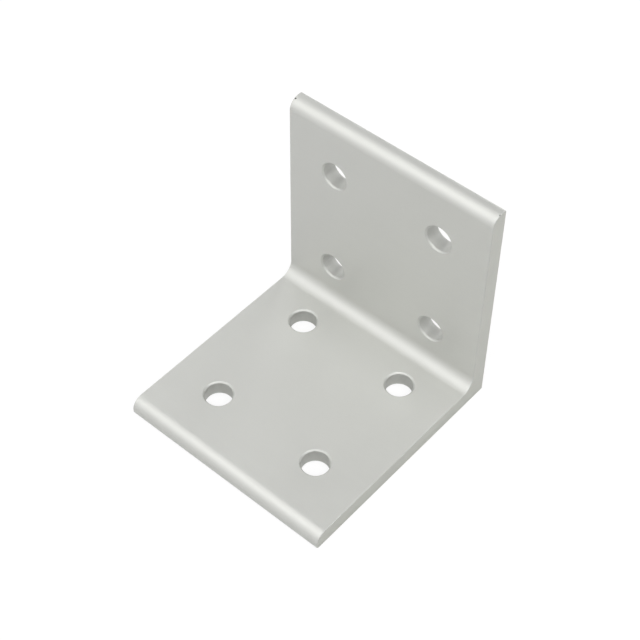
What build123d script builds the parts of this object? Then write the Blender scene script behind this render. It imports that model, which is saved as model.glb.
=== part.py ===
"""Eight-hole inside corner bracket for slotted aluminium framing.

One solid: an L-section cut from an aluminium extrusion, drilled four times
in each leg.  Both legs are equal.  The two outer faces are the faces that
seat on the framing, and they meet in a sharp outer corner.

Frame: +Z up, millimetres.  The origin is on the line where the planes of
the two seating faces meet, half way along the width.
  base leg   lies on z = 0 and runs from y = 0 towards -Y
  wall leg   stands on it with its seating face in the plane y = 0
  width      runs along X, centred on x = 0
"""
from build123d import *
import os

# ---- driving dimensions (mm) ------------------------------------------
leg_length = 80.0          # outer corner to the free end of each leg
width = 76.0               # length the extrusion is cut to
thickness = 5.8            # thickness of both legs

inner_fillet_r = 4.7       # in the inside corner
tip_round_r = 3.8          # inner edge of each leg's free end
outer_corner_r = 0.25      # where the two seating faces meet (assumed)
tip_edge_r = 1.0           # outer edge of each leg's free end
cut_edge_break = 0.2       # deburred perimeter of the two sawn ends

hole_d = 9.0               # clearance for M8
hole_chamfer = 0.5         # both mouths of every hole, 45 degrees
first_hole = 20.0          # from the outer corner to the first row
grid = 40.0                # slot pitch, along the legs and across them

# ---- the extruded L section, in the YZ plane ---------------------------
# local axes of the sketch plane: local x = world -Y, local y = world +Z
section_plane = Plane(origin=(-width / 2, 0, 0), x_dir=(0, -1, 0), z_dir=(-1, 0, 0))

L, T = leg_length, thickness
outline = [
    (0, 0),        # 0 outer corner
    (L, 0),        # 1 base leg, outer edge of the free end
    (L, T),        # 2 base leg, inner edge of the free end
    (T, T),        # 3 inside corner
    (T, L),        # 4 wall leg, inner edge of the free end
    (0, L),        # 5 wall leg, outer edge of the free end
]


def corner(sketch, x, y):
    """The sketch vertex at a given local point."""
    return sorted(sketch.vertices(), key=lambda v: (v.X - x) ** 2 + (v.Y - y) ** 2)[0]


section = make_face(Polyline(*outline, close=True))
for (x, y), r in (
    (outline[0], outer_corner_r),
    (outline[1], tip_edge_r),
    (outline[2], tip_round_r),
    (outline[3], inner_fillet_r),
    (outline[4], tip_round_r),
    (outline[5], tip_edge_r),
):
    section = fillet(corner(section, x, y), r)

# extruded along +X from the left cut to the right cut
blank = extrude(section_plane * section, amount=-width)

# ---- deburred edges of the two sawn ends -------------------------------
cut_edges = blank.faces().filter_by(Axis.X).edges()
bracket = chamfer(cut_edges, cut_edge_break)

# ---- holes ---------------------------------------------------------------
# one cutter: the drilled bore with a 45 degree mouth at both faces of a leg.
# Each cone runs past its face so that the cut is clean.
over = 1.0


def hole_cutter():
    r = hole_d / 2
    c = hole_chamfer
    profile = Polyline(
        (0, -over),
        (r + c + over, -over),
        (r, c),
        (r, T - c),
        (r + c + over, T + over),
        (0, T + over),
        close=True,
    )
    return revolve(make_face(Plane.XZ * profile), Axis.Z, 360)


cutter = hole_cutter()
for ix in (-0.5, 0.5):
    for row in (0, 1):
        along = first_hole + row * grid
        bracket -= Pos(ix * grid, -along, 0) * cutter
        bracket -= Pos(ix * grid, 0, along) * Rot(90, 0, 0) * cutter

corner_bracket = bracket.solid() if hasattr(bracket, "solid") else bracket
corner_bracket.label = "corner_bracket"

os.makedirs("parts", exist_ok=True)
export_step(corner_bracket, "parts/corner_bracket.step")
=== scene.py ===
import math
import bmesh
import bpy
import numpy as np
from mathutils import Matrix, Vector


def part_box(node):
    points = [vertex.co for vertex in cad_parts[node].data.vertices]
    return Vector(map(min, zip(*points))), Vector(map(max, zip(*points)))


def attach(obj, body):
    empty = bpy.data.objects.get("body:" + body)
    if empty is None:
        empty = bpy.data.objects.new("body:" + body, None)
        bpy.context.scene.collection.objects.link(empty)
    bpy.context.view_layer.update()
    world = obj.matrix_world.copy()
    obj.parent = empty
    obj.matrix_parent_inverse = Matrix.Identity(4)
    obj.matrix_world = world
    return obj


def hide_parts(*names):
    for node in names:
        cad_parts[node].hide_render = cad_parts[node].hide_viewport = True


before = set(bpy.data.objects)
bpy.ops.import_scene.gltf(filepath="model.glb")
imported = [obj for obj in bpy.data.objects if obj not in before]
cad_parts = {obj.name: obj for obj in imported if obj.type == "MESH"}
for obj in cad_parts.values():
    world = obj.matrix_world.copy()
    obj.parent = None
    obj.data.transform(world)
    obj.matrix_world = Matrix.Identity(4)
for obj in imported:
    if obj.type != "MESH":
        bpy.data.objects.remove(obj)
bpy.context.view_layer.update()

# ----------------------------------------------------------------------
# sizes of the bracket (metres), the same as the CAD solid's
# ----------------------------------------------------------------------
lo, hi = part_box("corner_bracket")
MM = 0.001
HALF_W = (hi.x - lo.x) / 2          # 38
LEG = hi.z - lo.z                   # 80
T = 5.8 * MM                        # thickness of both legs
R_TIP = 3.8 * MM                    # inner edge of each free end
R_IN = 4.7 * MM                     # inside corner
R_OUT = 0.25 * MM                   # outer corner
R_TIP_EDGE = 1.0 * MM               # outer edge of each free end
BREAK = 0.2 * MM                    # deburred perimeter of the sawn ends
R_HOLE = 4.5 * MM
CHAMFER = 0.5 * MM
ROWS = (20 * MM, 60 * MM)
COLS = (-20 * MM, 20 * MM)

CELL = 8.0 * MM                     # half side of the square meshed round each hole
QUARTER = 24                        # segments on a quarter of a hole
LIP = 0.22 * MM                     # soft radius at the mouth of each chamfer

# zones of the surface, one material each
SKIN, END, BORE, EDGE = 0, 1, 2, 3

# the flat sheet that the whole surface is laid out on for baking
SHEET = 184.0 * MM


# ----------------------------------------------------------------------
# mesh building: patches of points with exact normals, welded at the end
# ----------------------------------------------------------------------
class Skin:
    """Gathers grids of points with their normals, their place on the sheet and their zone."""

    def __init__(self):
        self.co, self.no, self.uv, self.faces, self.mats = [], [], [], [], []
        self.count = 0

    def grid(self, pts, nrm, mat, uv, skip=None):
        """pts and nrm are (n, m, 3), uv is (n, m, 2) in metres, skip an (n-1, m-1) mask of quads left out.
        mat is one zone, or one for each row of quads."""
        n, m = pts.shape[:2]
        base = self.count
        self.co.append(pts.reshape(-1, 3))
        self.no.append(nrm.reshape(-1, 3))
        self.uv.append(uv.reshape(-1, 2))
        self.count += n * m
        i, j = np.meshgrid(np.arange(n - 1), np.arange(m - 1), indexing="ij")
        if skip is not None:
            keep = ~skip
            i, j = i[keep], j[keep]
        i, j = i.ravel(), j.ravel()
        a = base + i * m + j
        quad = np.stack([a, a + 1, a + m + 1, a + m], 1)
        # wind each quad so that its face looks along its normals
        p = self.co[-1]
        q = quad - base
        geo = np.cross(p[q[:, 2]] - p[q[:, 0]], p[q[:, 3]] - p[q[:, 1]])
        want = self.no[-1][q].sum(1)
        flip = (geo * want).sum(1) < 0
        quad[flip] = quad[flip][:, ::-1]
        self.faces += quad.tolist()
        self.mats += (np.asarray(mat)[i] if np.ndim(mat) else np.full(len(quad), mat)).tolist()

    def polygon(self, pts, normal, mat, uv):
        base = self.count
        pts = np.asarray(pts)
        self.co.append(pts)
        self.no.append(np.repeat(np.asarray(normal, float)[None], len(pts), 0))
        self.uv.append(uv)
        self.count += len(pts)
        ids = list(range(base, base + len(pts)))
        area = np.cross(pts, np.roll(pts, -1, 0)).sum(0)
        if area @ np.asarray(normal) < 0:
            ids.reverse()
        self.faces.append(ids)
        self.mats.append(mat)


def spans(*pieces):
    """Positions made of runs (start, end, count), each start being the last end."""
    out = [pieces[0][0]]
    for a, b, n in pieces:
        out += [a + (b - a) * k / n for k in range(1, n + 1)]
    return np.array(out)


def cell_marks(centre):
    """Grid lines that meet the rays of the ring round a hole at this centre."""
    k = np.arange(-QUARTER // 2, QUARTER // 2 + 1)
    return centre + CELL * np.tan(k * (math.pi / 2) / QUARTER)


def join(*arrays):
    out = [arrays[0]]
    for a in arrays[1:]:
        out.append(a[1:])
    return np.concatenate(out)


edge = HALF_W - BREAK
fine = 1.2 * MM
half = join(
    spans((0.0, COLS[1] - CELL, 6)),
    cell_marks(COLS[1]),
    spans((COLS[1] + CELL, edge - fine, 5), (edge - fine, edge, 12)),
)
XS = np.concatenate([-half[::-1], half[1:]])


def along(start, end):
    """Grid lines along a leg's face, from its inner to its outer end."""
    return join(
        spans((start, ROWS[0] - CELL, 3 if start > 5 * MM else 8)),
        cell_marks(ROWS[0]),
        spans((ROWS[0] + CELL, ROWS[1] - CELL, 10)),
        cell_marks(ROWS[1]),
        spans((ROWS[1] + CELL, end, 5)),
    )


def arc(centre, r, a0, a1, n, sign=1.0):
    """Points and outward normals on an arc, angles in degrees. sign -1 for a hollow one."""
    a = np.radians(np.linspace(a0, a1, n + 1))
    d = np.stack([np.cos(a), np.sin(a)], 1)
    return np.asarray(centre)[None] + r * d, sign * d


def flat(p, q, steps):
    p, q = np.asarray(p, float), np.asarray(q, float)
    pts = p[None] + (q - p)[None] * np.asarray(steps)[:, None]
    d = (q - p) / np.linalg.norm(q - p)
    nrm = np.repeat(np.array([[d[1], -d[0]]]), len(pts), 0)
    return pts, nrm


def ratio(s):
    return (s - s[0]) / (s[-1] - s[0])


# The outline in the YZ plane, taken anticlockwise seen from +X, as named strips.
inner_s = along(T + R_IN, LEG - R_TIP)
outer_s = along(R_OUT, LEG - R_TIP_EDGE)
few = np.linspace(0, 1, 6)
strips = [
    ("base_under", *flat((-(LEG - R_TIP_EDGE), 0), (-R_OUT, 0), 1 - ratio(outer_s)[::-1])),
    ("corner", *arc((-R_OUT, R_OUT), R_OUT, -90, 0, 5)),
    ("wall_back", *flat((0, R_OUT), (0, LEG - R_TIP_EDGE), ratio(outer_s))),
    ("wall_tip_edge", *arc((-R_TIP_EDGE, LEG - R_TIP_EDGE), R_TIP_EDGE, 0, 90, 14)),
    ("wall_tip_flat", *flat((-R_TIP_EDGE, LEG), (-(T - R_TIP), LEG), few)),
    ("wall_tip_round", *arc((-(T - R_TIP), LEG - R_TIP), R_TIP, 90, 180, 40)),
    ("wall_front", *flat((-T, LEG - R_TIP), (-T, T + R_IN), 1 - ratio(inner_s)[::-1])),
    ("fillet", *arc((-(T + R_IN), T + R_IN), R_IN, 0, -90, 36, sign=-1.0)),
    ("base_top", *flat((-(T + R_IN), T), (-(LEG - R_TIP), T), ratio(inner_s))),
    ("base_tip_round", *arc((-(LEG - R_TIP), T - R_TIP), R_TIP, 90, 180, 40)),
    ("base_tip_flat", *flat((-LEG, T - R_TIP), (-LEG, R_TIP_EDGE), few)),
    ("base_tip_edge", *arc((-(LEG - R_TIP_EDGE), R_TIP_EDGE), R_TIP_EDGE, 180, 270, 14)),
]

# ----- two small pits where the wall leg's rounded end meets its sawn ends ---
def on_wall_tip(x, y):
    """The point of the wall leg's rounded end at this x and y."""
    return np.array([x, y, LEG - R_TIP + math.sqrt(R_TIP ** 2 - (y + T - R_TIP) ** 2)])


# centre, radius, depth and how dark the shade painted into it is
# the pits are real hollows in the mesh; the darkness in them is painted shade, not a stain
PITS = [
    (on_wall_tip(-(HALF_W - 0.50 * MM), -3.56 * MM), 0.23 * MM, 0.13 * MM, 0.92),
    (on_wall_tip(HALF_W - 0.14 * MM, -3.0 * MM), 0.20 * MM, 0.07 * MM, 0.55),
]


def pitted(pts, nrm):
    """Sinks the two pits into points and turns their normals with them."""
    shape = pts.shape
    p, n = pts.reshape(-1, 3).copy(), nrm.reshape(-1, 3).copy()
    for c, radius, deep, dark in PITS:
        off = p - c
        r2 = (off ** 2).sum(1)
        near = r2 < (4 * radius) ** 2
        if not near.any():
            continue
        g = np.exp(-r2[near] / radius ** 2)
        tang = off[near] - (off[near] * n[near]).sum(1, keepdims=True) * n[near]
        slope = (2 * deep / radius ** 2) * g[:, None] * tang
        old = n[near].copy()
        p[near] -= old * (deep * g)[:, None]
        m = old - slope
        n[near] = m / np.linalg.norm(m, axis=1, keepdims=True)
    return p.reshape(shape), n.reshape(shape)


def lengths(yz, nn):
    """How far along its strip each point of an outline lies (an arc's true length is close enough to its chords)."""
    return np.concatenate([[0], np.cumsum(np.linalg.norm(np.diff(yz, axis=0), axis=1))])


skin = Skin()
round_a = np.radians(np.linspace(0, 90, 5))
GAP = 1.5 * MM
half_sheet = HALF_W + 0.12 * MM      # half of a strip's width when its broken edges are laid flat
mid_u = {0: GAP + half_sheet, 1: 2 * GAP + 3 * half_sheet}
place = {}                           # strip name: (column of the sheet, start along it)
run = {0: GAP, 1: GAP}
for name, yz, nn in strips:
    column = 0 if name in ("base_under", "corner", "wall_back", "wall_tip_edge") else 1
    length = lengths(yz, nn)
    place[name] = (column, run[column])
    run[column] += length[-1]
    v = place[name][1] + length
    m = len(yz)
    pts = np.zeros((m, len(XS), 3))
    pts[:, :, 0] = XS[None]
    pts[:, :, 1:] = yz[:, None]
    nrm = np.zeros_like(pts)
    nrm[:, :, 1:] = nn[:, None]
    uv = np.zeros((m, len(XS), 2))
    uv[:, :, 0] = mid_u[column] + XS[None]
    uv[:, :, 1] = v[:, None]
    skip = None
    if name in ("base_under", "wall_back", "wall_front", "base_top"):
        mid = np.abs((yz[1:] + yz[:-1]) / 2)
        dist = mid[:, 1] if name.startswith("wall") else mid[:, 0]
        xm = (XS[1:] + XS[:-1]) / 2
        skip = np.zeros((m - 1, len(XS) - 1), bool)
        for cx in COLS:
            for row in ROWS:
                skip |= (np.abs(dist - row) < CELL)[:, None] & (np.abs(xm - cx) < CELL)[None]
    if name == "wall_tip_round":
        pts, nrm = pitted(pts, nrm)
    skin.grid(pts, nrm, SKIN, uv, skip)
    # the broken edge at each sawn end
    for side in (-1, 1):
        ep = np.zeros((m, len(round_a), 3))
        en = np.zeros_like(ep)
        eu = np.zeros((m, len(round_a), 2))
        for k, a in enumerate(round_a):
            ep[:, k, 0] = side * (HALF_W - BREAK + BREAK * math.sin(a))
            ep[:, k, 1:] = yz - nn * BREAK * (1 - math.cos(a))
            en[:, k, 0] = side * math.sin(a)
            en[:, k, 1:] = nn * math.cos(a)
            eu[:, k, 0] = mid_u[column] + side * (HALF_W - BREAK + BREAK * a)
            eu[:, k, 1] = v
        if name == "wall_tip_round":
            ep, en = pitted(ep, en)
        skin.grid(ep, en, EDGE, eu)

# the two sawn ends, nested round the free corner of the sheet
loop = np.concatenate([(yz - nn * BREAK)[:-1] for name, yz, nn in strips])
for side, off in ((-1, 0.0), (1, T + GAP)):
    ring = np.zeros((len(loop), 3))
    ring[:, 0] = side * HALF_W
    ring[:, 1:] = loop
    ring_n = np.zeros_like(ring)
    ring_n[:, 0] = side
    ring, _ = pitted(ring[:, None], ring_n[:, None])
    far = SHEET - GAP - off
    skin.polygon(ring[:, 0], (side, 0, 0), END, np.stack([far + loop[:, 0], far - loop[:, 1]], 1))

# the holes: square to circle on both faces, then the wall with its two mouths
ang = np.radians(np.arange(4 * QUARTER + 1) * 90.0 / QUARTER)


def mouth_profile():
    """(radius, depth, normal's radial part, normal's outward part) from the face to the bore:
    a soft lip, the 45 degree chamfer and a second soft lip."""
    out = []
    s = math.tan(math.radians(22.5)) * LIP
    for k in range(4):
        a = math.radians(45.0 * k / 3)
        out.append((R_HOLE + CHAMFER + s - LIP * math.sin(a), LIP * (1 - math.cos(a)), -math.sin(a), math.cos(a)))
    for k in range(4):
        a = math.radians(45 + 45.0 * k / 3)
        out.append((R_HOLE + LIP * (1 - math.sin(a)), CHAMFER + s - LIP * math.cos(a), -math.sin(a), math.cos(a)))
    return out


prof = mouth_profile()
r_open = prof[0][0]
deep = prof[-1][1]
on_sheet = {  # a face's strip, and whether the strip runs towards the corner
    ("base", 0): ("base_top", False), ("base", 1): ("base_under", True),
    ("wall", 0): ("wall_front", True), ("wall", 1): ("wall_back", False)}
ends_of = {"base_top": (T + R_IN, LEG - R_TIP), "base_under": (R_OUT, LEG - R_TIP_EDGE),
           "wall_front": (T + R_IN, LEG - R_TIP), "wall_back": (R_OUT, LEG - R_TIP_EDGE)}


def sheet_of(leg, face, x, dist):
    """Where a point of a leg's face, dist from the corner, lies on the sheet."""
    strip, inward = on_sheet[leg, face]
    column, start = place[strip]
    near, far = ends_of[strip]
    return np.stack([mid_u[column] + x, start + ((far - dist) if inward else (dist - near))], -1)


bores = 0


def hole(leg, cx, row):
    """A hole through a leg, at cx across it and row from the corner."""
    global bores
    if leg == "base":
        origin, u, v, n_in = (cx, -row, T), (1, 0, 0), (0, -1, 0), (0, 0, 1)
    else:
        origin, u, v, n_in = (cx, -T, row), (1, 0, 0), (0, 0, 1), (0, -1, 0)
    origin, u, v, n_in = (np.asarray(x, float) for x in (origin, u, v, n_in))
    c, s = np.cos(ang), np.sin(ang)
    ray = c[:, None] * u + s[:, None] * v
    reach = CELL / np.maximum(np.abs(c), np.abs(s))     # from the centre to the square, along each ray
    for face, n in ((0, n_in), (1, -n_in)):
        centre = origin - n_in * (T * face)
        radii = np.stack([r_open + (reach - r_open) * w for w in (0, 0.08, 0.2, 0.36, 0.56, 0.78, 1.0)])
        pts = centre + radii[:, :, None] * ray[None]
        skin.grid(pts, np.broadcast_to(n, pts.shape).copy(), SKIN,
                  sheet_of(leg, face, cx + radii * c[None], row + radii * s[None]))
        # mouth: laid flat inside the hole's own gap in the sheet
        pts = np.stack([centre - n * d + ray * r for r, d, nr, nz in prof])
        nrm = np.stack([ray * nr + n * nz for r, d, nr, nz in prof])
        radii = np.array([r for r, d, nr, nz in prof])[:, None]
        skin.grid(pts, nrm, EDGE, sheet_of(leg, face, cx + radii * c[None], row + radii * s[None]))
    # wall
    depths = np.linspace(deep, T - deep, 9)
    pts = np.stack([origin - n_in * d + ray * R_HOLE for d in depths])
    slot_u = 2 * GAP + (bores % 3) * (2 * math.pi * R_HOLE + GAP)
    slot_v = SHEET - GAP - (T - 2 * deep) - (bores // 3) * (T - 2 * deep + GAP)
    uv = np.zeros(pts.shape[:2] + (2,))
    uv[:, :, 0] = slot_u + ang[None] * R_HOLE
    uv[:, :, 1] = slot_v + (depths - deep)[:, None]
    skin.grid(pts, np.broadcast_to(-ray, pts.shape).copy(), BORE, uv)
    bores += 1


for cx in COLS:
    for row in ROWS:
        hole("base", cx, row)
        hole("wall", cx, row)

co = np.concatenate(skin.co)
no = np.concatenate(skin.no)
uvs = np.concatenate(skin.uv) / SHEET
corners = np.concatenate([np.asarray(f) for f in skin.faces])

mesh = bpy.data.meshes.new("bracket_body")
mesh.from_pydata(co.tolist(), [], skin.faces)
mesh.polygons.foreach_set("material_index", np.array(skin.mats, np.int32))
mesh.polygons.foreach_set("use_smooth", np.ones(len(skin.mats), bool))
layer = mesh.uv_layers.new(name="OFBake")
layer.data.foreach_set("uv", uvs[corners].astype(np.float32).ravel())
keep = mesh.attributes.new("exact_normal", "FLOAT_VECTOR", "POINT")
keep.data.foreach_set("vector", no.astype(np.float32).ravel())

bm = bmesh.new()
bm.from_mesh(mesh)
bmesh.ops.remove_doubles(bm, verts=bm.verts, dist=2e-6)
bm.to_mesh(mesh)
open_edges = sum(1 for e in bm.edges if not e.is_manifold)
bm.free()
normals = np.empty(len(mesh.vertices) * 3, np.float32)
mesh.attributes["exact_normal"].data.foreach_get("vector", normals)
mesh.attributes.remove(mesh.attributes["exact_normal"])
mesh.normals_split_custom_set_from_vertices(normals.reshape(-1, 3).tolist())
print("BRACKET", len(mesh.vertices), "vertices", len(mesh.polygons), "faces", open_edges, "open edges",
      "uv", uvs.min(0), uvs.max(0))

bracket = bpy.data.objects.new("bracket_body", mesh)
bpy.context.scene.collection.objects.link(bracket)
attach(bracket, "root")
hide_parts("corner_bracket")


# ----------------------------------------------------------------------
# materials
# ----------------------------------------------------------------------
class Graph:
    """Small helper that wires a material's nodes. Coordinates are the object's own, in millimetres."""

    def __init__(self, name):
        self.mat = bpy.data.materials.new(name)
        self.mat.use_nodes = True
        self.nt = self.mat.node_tree
        self.shader = self.nt.nodes["Principled BSDF"]
        tc = self.add("ShaderNodeTexCoord")
        mm = self.add("ShaderNodeVectorMath", operation="SCALE")
        self.nt.links.new(tc.outputs["Object"], mm.inputs[0])
        mm.inputs["Scale"].default_value = 1000.0
        self.p = mm.outputs["Vector"]
        sep = self.add("ShaderNodeSeparateXYZ")
        self.nt.links.new(self.p, sep.inputs[0])
        self.x, self.y, self.z = sep.outputs
        # distance from the bracket's outer faces, and along a leg from the corner
        back = self.math("MULTIPLY", self.y, -1.0)
        self.depth = self.math("MINIMUM", back, self.z)
        self.reach = self.math("MAXIMUM", back, self.z)

    def add(self, kind, **settings):
        node = self.nt.nodes.new(kind)
        for k, v in settings.items():
            setattr(node, k, v)
        return node

    def put(self, socket, value):
        if isinstance(value, bpy.types.NodeSocket):
            self.nt.links.new(value, socket)
        else:
            socket.default_value = value

    def math(self, op, a, b=None, c=None, clamp=False):
        node = self.add("ShaderNodeMath", operation=op, use_clamp=clamp)
        for s, v in zip(node.inputs, (a, b, c)):
            if v is not None:
                self.put(s, v)
        return node.outputs[0]

    def vector(self, x, y, z):
        node = self.add("ShaderNodeCombineXYZ")
        for s, v in zip(node.inputs, (x, y, z)):
            self.put(s, v)
        return node.outputs[0]

    def noise(self, where, scale, detail=2.0, rough=0.5, distortion=0.0):
        node = self.add("ShaderNodeTexNoise", noise_dimensions="3D")
        self.put(node.inputs["Vector"], where)
        node.inputs["Scale"].default_value = scale
        node.inputs["Detail"].default_value = detail
        node.inputs["Roughness"].default_value = rough
        node.inputs["Distortion"].default_value = distortion
        return node.outputs["Fac"]

    def ramp(self, value, a, b, to_a=0.0, to_b=1.0, smooth=True):
        node = self.add("ShaderNodeMapRange", interpolation_type="SMOOTHSTEP" if smooth else "LINEAR")
        self.put(node.inputs["Value"], value)
        for k, v in (("From Min", a), ("From Max", b), ("To Min", to_a), ("To Max", to_b)):
            node.inputs[k].default_value = v
        return node.outputs["Result"]

    def sum(self, *terms):
        """Adds (value, weight) pairs, each value centred on 0.5, to nought."""
        out = None
        for value, weight in terms:
            t = self.math("MULTIPLY", self.math("SUBTRACT", value, 0.5), weight)
            out = t if out is None else self.math("ADD", out, t)
        return out

    def tint(self, factor, dark, light):
        node = self.add("ShaderNodeMix", data_type="RGBA")
        self.put(node.inputs["Factor"], factor)
        node.inputs["A"].default_value = (*dark, 1)
        node.inputs["B"].default_value = (*light, 1)
        return node.outputs["Result"]

    def over(self, factor, below, colour):
        node = self.add("ShaderNodeMix", data_type="RGBA")
        self.put(node.inputs["Factor"], factor)
        self.put(node.inputs["A"], below)
        node.inputs["B"].default_value = (*colour, 1)
        return node.outputs["Result"]

    def painted_pit_shade(self):
        """Painted shade for the two pits: 1 in them, fading to 0 just outside them."""
        ragged = self.noise(self.p, 5.0, 2.0)
        out = None
        for c, radius, deep, dark in PITS:
            d = self.add("ShaderNodeVectorMath", operation="DISTANCE")
            self.put(d.inputs[0], self.p)
            d.inputs[1].default_value = tuple(float(v) * 1000 for v in c)
            wobbly = self.math("ADD", d.outputs["Value"], self.math("MULTIPLY", self.math("SUBTRACT", ragged, 0.5), 0.12))
            here = self.ramp(wobbly, 800.0 * radius, 1600.0 * radius, dark, 0.0)
            out = here if out is None else self.math("MAXIMUM", out, here)
        return out

    def finish(self, tone, base, spread, rough, rough_vary, bump_height, bump_mm):
        """tone and rough_vary are signed values about nought. spread is how far the colour goes either way."""
        b = np.array(base)
        factor = self.math("ADD", tone, 0.5, clamp=True)
        colour = self.tint(factor, tuple(b * (1 - spread)), tuple(b * (1 + spread)))
        pit_shade_mask = self.painted_pit_shade()
        # painted shade: the two pits are coloured near black where shade would fall inside them
        colour = self.over(pit_shade_mask, colour, (0.055, 0.055, 0.05))
        self.put(self.shader.inputs["Base Color"], colour)
        self.put(self.shader.inputs["Roughness"], self.math("ADD", self.math("ADD", rough_vary, rough), self.math("MULTIPLY", pit_shade_mask, 0.15)))
        self.shader.inputs["Metallic"].default_value = 1.0
        bump = self.add("ShaderNodeBump")
        bump.inputs["Strength"].default_value = 1.0
        bump.inputs["Distance"].default_value = bump_mm * MM
        self.put(bump.inputs["Height"], bump_height)
        self.put(self.shader.inputs["Normal"], bump.outputs["Normal"])
        return self.mat


METAL = (0.600, 0.604, 0.581)       # clear anodised aluminium, a shade warm


def blasted_skin():
    g = Graph("blasted_skin")
    cloud = g.noise(g.p, 0.055, 3.0, 0.55)
    mottle = g.noise(g.p, 0.6, 3.0, 0.6)
    grain = g.noise(g.p, 3.1, 3.0, 0.62)
    pebble = g.noise(g.p, 7.5, 2.0, 0.6)
    drawn = g.noise(g.vector(g.math("MULTIPLY", g.x, 0.012), g.math("MULTIPLY", g.y, 1.5), g.math("MULTIPLY", g.z, 1.5)), 1.0, 3.0, 0.6)
    tone = g.sum((cloud, 0.35), (mottle, 0.25), (grain, 0.9), (pebble, 0.5), (drawn, 0.3))
    rough = g.sum((grain, 0.10), (mottle, 0.05), (cloud, 0.05), (drawn, 0.03))
    height = g.math("ADD", grain, g.math("MULTIPLY", pebble, 0.55))
    return g.finish(tone, METAL, 0.055, 0.60, rough, height, 0.010)


def sawn_end():
    g = Graph("sawn_end")
    cloud = g.noise(g.p, 0.08, 3.0, 0.55)
    streak = g.noise(g.vector(g.math("MULTIPLY", g.depth, 4.2), g.math("MULTIPLY", g.reach, 0.16), g.x), 1.0, 4.0, 0.65)
    fine_streak = g.noise(g.vector(g.math("MULTIPLY", g.depth, 11.0), g.math("MULTIPLY", g.reach, 0.5), g.x), 1.0, 3.0, 0.6)
    grain = g.noise(g.p, 4.0, 2.0, 0.6)
    tone = g.sum((cloud, 0.4), (streak, 0.8), (fine_streak, 0.5), (grain, 0.5))
    rough = g.sum((streak, 0.10), (grain, 0.08))
    height = g.math("ADD", streak, g.math("ADD", g.math("MULTIPLY", fine_streak, 0.5), g.math("MULTIPLY", grain, 0.4)))
    return g.finish(tone, tuple(np.array(METAL) * (0.995, 0.995, 0.97)), 0.075, 0.58, rough, height, 0.012)


def drilled_bore():
    g = Graph("drilled_bore")
    rings = g.noise(g.vector(g.math("MULTIPLY", g.depth, 6.0), g.math("MULTIPLY", g.reach, 0.05), g.math("MULTIPLY", g.x, 0.05)), 1.0, 3.0, 0.65)
    scuff = g.noise(g.p, 0.9, 3.0, 0.6)
    grain = g.noise(g.p, 4.0, 2.0, 0.6)
    tone = g.sum((rings, 0.8), (scuff, 0.4), (grain, 0.4))
    rough = g.sum((rings, 0.12), (scuff, 0.08))
    height = g.math("ADD", rings, g.math("MULTIPLY", grain, 0.3))
    return g.finish(tone, tuple(np.array(METAL) * 1.04), 0.11, 0.63, rough, height, 0.014)


def broken_edge():
    g = Graph("broken_edge")
    nick = g.noise(g.p, 1.6, 4.0, 0.65)
    grain = g.noise(g.p, 5.0, 2.0, 0.6)
    tone = g.sum((nick, 0.8), (grain, 0.6))
    rough = g.sum((nick, 0.14), (grain, 0.06))
    height = g.math("ADD", nick, g.math("MULTIPLY", grain, 0.4))
    return g.finish(tone, tuple(np.array(METAL) * 0.97), 0.06, 0.64, rough, height, 0.012)


for make in (blasted_skin, sawn_end, drilled_bore, broken_edge):     # in the order of the zones
    mesh.materials.append(make())

# ----------------------------------------------------------------------
# floor, light and camera
# ----------------------------------------------------------------------
F = 30.0
floor_mesh = bpy.data.meshes.new("floor")
floor_mesh.from_pydata([(-F, -F, 0), (F, -F, 0), (F, F, 0), (-F, F, 0)], [], [(0, 1, 2, 3)])
floor = bpy.data.objects.new("floor", floor_mesh)
bpy.context.scene.collection.objects.link(floor)
floor.location.z = -0.00002
fm = bpy.data.materials.new("floor")
fm.use_nodes = True
nt = fm.node_tree
fb = nt.nodes["Principled BSDF"]
fb.inputs["Base Color"].default_value = (0.94, 0.94, 0.94, 1)
fb.inputs["Roughness"].default_value = 0.9
fb.inputs["Specular IOR Level"].default_value = 0.1
fb.inputs["Emission Color"].default_value = (1, 1, 1, 1)


def wire(kind, settings=None, **sockets):
    node = nt.nodes.new(kind)
    for k, v in (settings or {}).items():
        setattr(node, k, v)
    for k, v in sockets.items():
        s = node.inputs[int(k[1:])] if k[1:].isdigit() else node.inputs[k.replace("_", " ")]
        if isinstance(v, bpy.types.NodeSocket):
            nt.links.new(v, s)
        else:
            s.default_value = v
    return node


# to the eye the floor is white with a trace of shadow, as in a catalogue picture; it lights the bracket from below like pale grey card
seen = wire("ShaderNodeLightPath").outputs["Is Camera Ray"]
paper = wire("ShaderNodeMapRange", None, Value=seen, From_Min=0.0, From_Max=1.0, To_Min=0.60, To_Max=0.12).outputs[0]
nt.links.new(paper, fb.inputs["Base Color"])
glow = wire("ShaderNodeMath", {"operation": "MULTIPLY"}, i0=seen, i1=0.86).outputs[0]
nt.links.new(glow, fb.inputs["Emission Strength"])
floor_mesh.materials.append(fm)

world = bpy.data.worlds.new("studio")
bpy.context.scene.world = world
world.use_nodes = True
nt = world.node_tree
bg = nt.nodes["Background"]
bg.inputs["Color"].default_value = (1, 1, 1, 1)
# to the eye the room is as pale as the far floor; the light comes from the boxes below
eye = wire("ShaderNodeLightPath").outputs["Is Camera Ray"]
nt.links.new(wire("ShaderNodeMath", {"operation": "MULTIPLY"}, i0=eye, i1=0.865).outputs[0], bg.inputs["Strength"])

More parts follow.
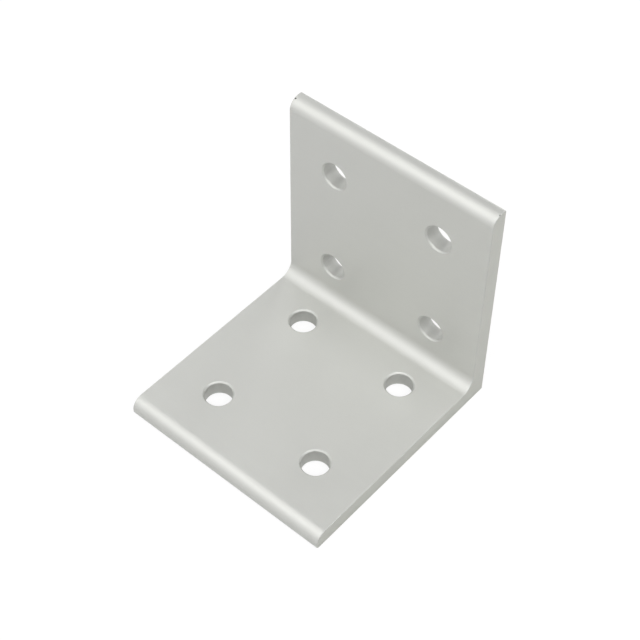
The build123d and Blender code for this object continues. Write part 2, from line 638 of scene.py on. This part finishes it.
# soft boxes all round, aimed at the bracket; each is 0.55 m square and 0.9 m off
target = Vector((0, -0.035, 0.03))
boxes = (
    ("key", (0.43, -0.5, 0.76), 2.76),
    ("key_high", (-0.35, -0.55, 0.75), 2.32),
    ("front_high", (0.0, -0.75, 0.66), 0.68),
    ("front_low", (0.0, -0.95, 0.25), 1.54),
    ("overhead", (0.0, 0.0, 1.0), 1.70),
    ("left_high", (-0.7, 0.0, 0.7), 1.23),
    ("right_high", (0.7, 0.0, 0.7), 4.60),
    ("left_low", (-0.95, 0.0, 0.3), 1.19),
    ("left_front", (-0.72, -0.65, 0.25), 1.25),
    ("back_left", (-0.7, 0.6, 0.35), 1.67),
    ("back_right", (0.65, 0.65, 0.4), 1.17),
    ("back_low", (0.0, 0.95, 0.3), 2.54),
    ("back_high", (0.0, 0.6, 0.8), 0.22),
)
for name, d, power in boxes:
    d = Vector(d).normalized()
    lamp = bpy.data.lights.new(name, "AREA")
    lamp.shape = "SQUARE"
    lamp.size = 0.55
    lamp.energy = power
    ob = bpy.data.objects.new(name, lamp)
    bpy.context.scene.collection.objects.link(ob)
    ob.location = target + d * 0.9
    ob.rotation_euler = d.to_track_quat("Z", "Y").to_euler()
    ob.visible_camera = False

cam_data = bpy.data.cameras.new("camera")
cam = bpy.data.objects.new("camera", cam_data)
bpy.context.scene.collection.objects.link(cam)
cam_data.sensor_width = 36.0
cam_data.lens = 1538.628 * 36.0 / 640.0
cam_data.clip_start, cam_data.clip_end = 0.01, 50.0
right = Vector((0.7555776577151561, 0.6550158292111943, 0.007527725051459531))
down = Vector((0.4985566888155779, -0.5675679789472681, -0.655215855509435))
ahead = Vector((-0.4249042612153068, 0.49881945907962055, -0.7554042070604248))
spot = Vector((0.19625703051817993, -0.265584404597495, 0.38345329522515737))
cam.matrix_world = Matrix((
    (right.x, -down.x, -ahead.x, spot.x),
    (right.y, -down.y, -ahead.y, spot.y),
    (right.z, -down.z, -ahead.z, spot.z),
    (0, 0, 0, 1)))
bpy.context.scene.camera = cam
bpy.context.scene.view_settings.view_transform = "Standard"
